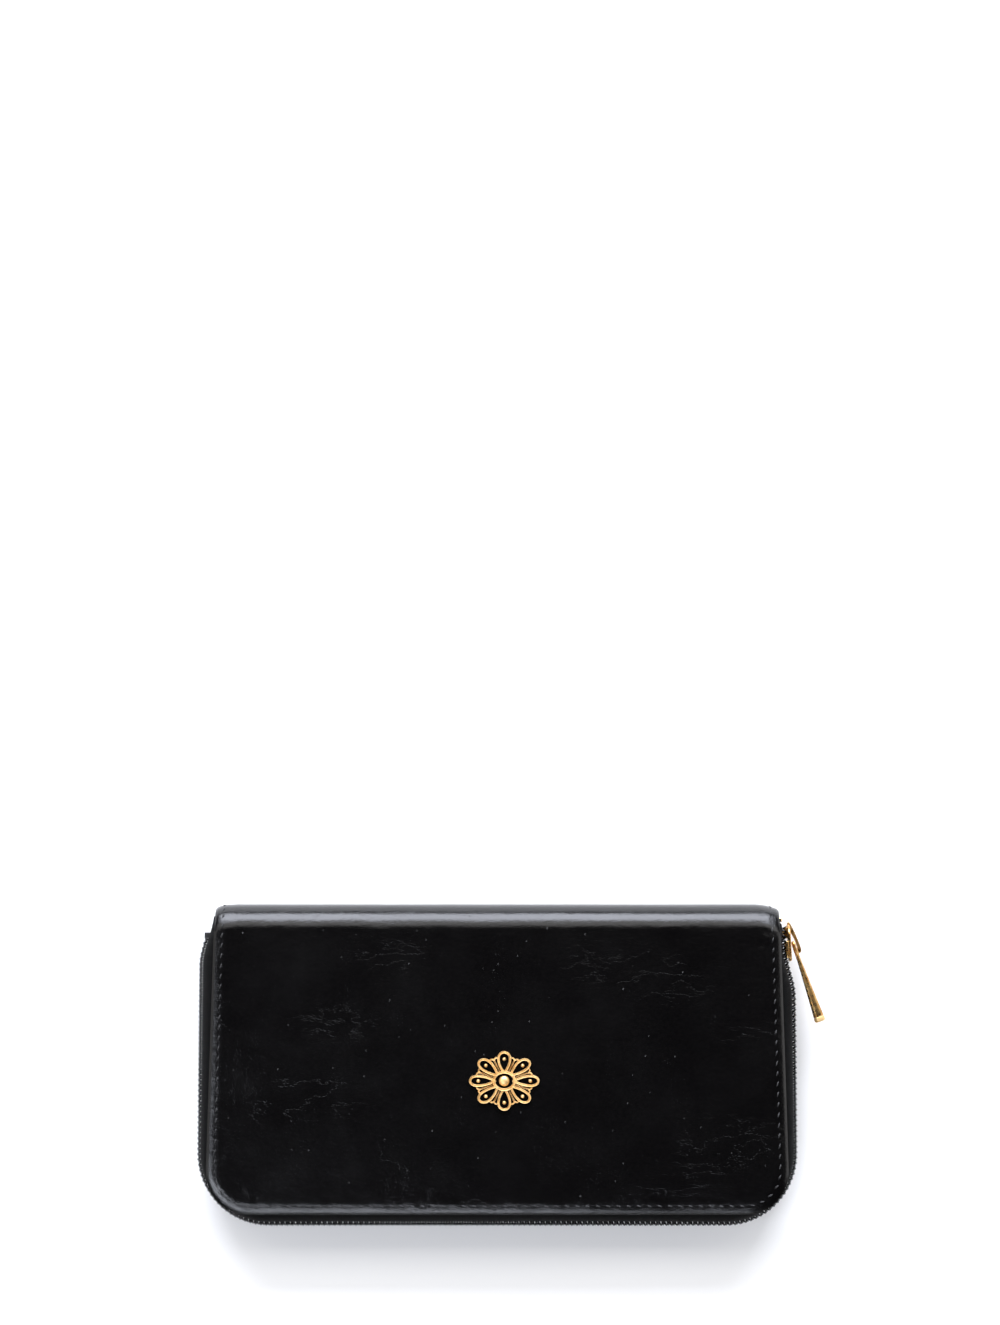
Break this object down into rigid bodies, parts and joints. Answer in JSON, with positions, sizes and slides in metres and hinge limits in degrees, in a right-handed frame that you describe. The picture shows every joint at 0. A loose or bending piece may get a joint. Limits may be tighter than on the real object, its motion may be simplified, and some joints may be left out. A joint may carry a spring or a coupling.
{
  "type": "zip-around wallet",
  "caption": "Long black leather wallet that zips round three sides, with a round spine, card pockets, a zipped coin pocket, folded gussets and a gilt openwork ornament.",
  "frame": {"origin": "middle of the back cover's flat outer face", "axes": "+Z through the closed wallet towards the front cover, +Y towards the round spine, +X towards the end where the closed zip's slider stands"},
  "size_m": [0.2102, 0.1068, 0.0258],
  "materials": {
    "cover_leather": "smooth glossy black box calf with painted edges",
    "inside_leather": "thin black lining leather",
    "stiffener_board": "raw grey-brown stiffener board",
    "zip_tape": "black woven polyester tape",
    "zip_teeth": "black nylon coil",
    "gold_metal": "polished pale gold plating"
  },
  "bodies": {
    "back": {"back_cover": "cover_leather", "spine": "cover_leather", "spine_lining": "inside_leather", "back_board": "stiffener_board", "back_lining": "inside_leather", "back_card_strip_1": "inside_leather", "back_card_strip_2": "inside_leather", "back_card_strip_3": "inside_leather", "zip_tape_back": "zip_tape", "zip_coil_back": "zip_teeth", "top_stop_back": "gold_metal", "bottom_stop": "gold_metal", "gusset_left": "inside_leather", "gusset_right": "inside_leather"},
    "front": {"front_cover": "cover_leather", "front_board": "stiffener_board", "front_lining": "inside_leather", "front_card_strip_1": "inside_leather", "front_card_strip_2": "inside_leather", "front_card_strip_3": "inside_leather", "zip_tape_front": "zip_tape", "zip_coil_front": "zip_teeth", "top_stop_front": "gold_metal", "emblem": "gold_metal", "emblem_nut_left": "gold_metal", "emblem_nut_right": "gold_metal"},
    "divider": {"coin_wall_back": "inside_leather", "coin_wall_front": "inside_leather", "coin_pocket_seam": "inside_leather", "coin_tape_back": "zip_tape", "coin_tape_front": "zip_tape", "coin_coil_back": "zip_teeth", "coin_coil_front": "zip_teeth", "coin_top_stop_back": "gold_metal", "coin_top_stop_front": "gold_metal", "coin_bottom_stop": "gold_metal"},
    "slider": {"slider_body": "gold_metal", "slider_crown": "gold_metal"},
    "pull": {"pull_stem": "gold_metal", "pull_cap": "gold_metal"},
    "coin_slider": {"coin_slider_body": "gold_metal", "coin_slider_crown": "gold_metal"},
    "coin_pull": {"coin_pull_stem": "gold_metal", "coin_pull_cap": "gold_metal"}
  },
  "joints": [
    {"name": "front_hinge", "type": "hinge", "parent": "back", "child": "front", "pos_m": [0, 0.0519, 0.012], "axis": [-1, 0, 0], "range_deg": [0, 60], "deforming": ["spine", "spine_lining", "zip_tape_front", "zip_tape_back", "zip_coil_front", "zip_coil_back", "gusset_left", "gusset_right"]},
    {"name": "divider_hinge", "type": "hinge", "parent": "back", "child": "divider", "pos_m": [0, 0.0519, 0.012], "axis": [-1, 0, 0], "range_deg": [0, 30], "deforming": ["spine", "spine_lining", "gusset_left", "gusset_right"]},
    {"name": "slider_travel", "type": "slide", "parent": "back", "child": "slider", "axis": [0.0523, -0.9986, 0], "range_m": [0, 0.06], "deforming": ["zip_coil_back", "zip_coil_front", "zip_tape_back", "zip_tape_front"]},
    {"name": "pull_swing", "type": "hinge", "parent": "slider", "child": "pull", "pos_m": [0.0992, 0.03978, 0.012], "axis": [0, 0, 1], "range_deg": [-12, 135]},
    {"name": "coin_slider_travel", "type": "slide", "parent": "divider", "child": "coin_slider", "axis": [-1, 0, 0], "range_m": [0, 0.118], "deforming": ["coin_coil_back", "coin_coil_front", "coin_tape_back", "coin_tape_front"]},
    {"name": "coin_pull_swing", "type": "hinge", "parent": "coin_slider", "child": "coin_pull", "pos_m": [0.06, -0.03765, 0.012], "axis": [0, 0, 1], "range_deg": [0, 170]}
  ],
  "couplings": [
    {"joint": "divider_hinge", "follows": "front_hinge", "ratio": 0.5}
  ]
}
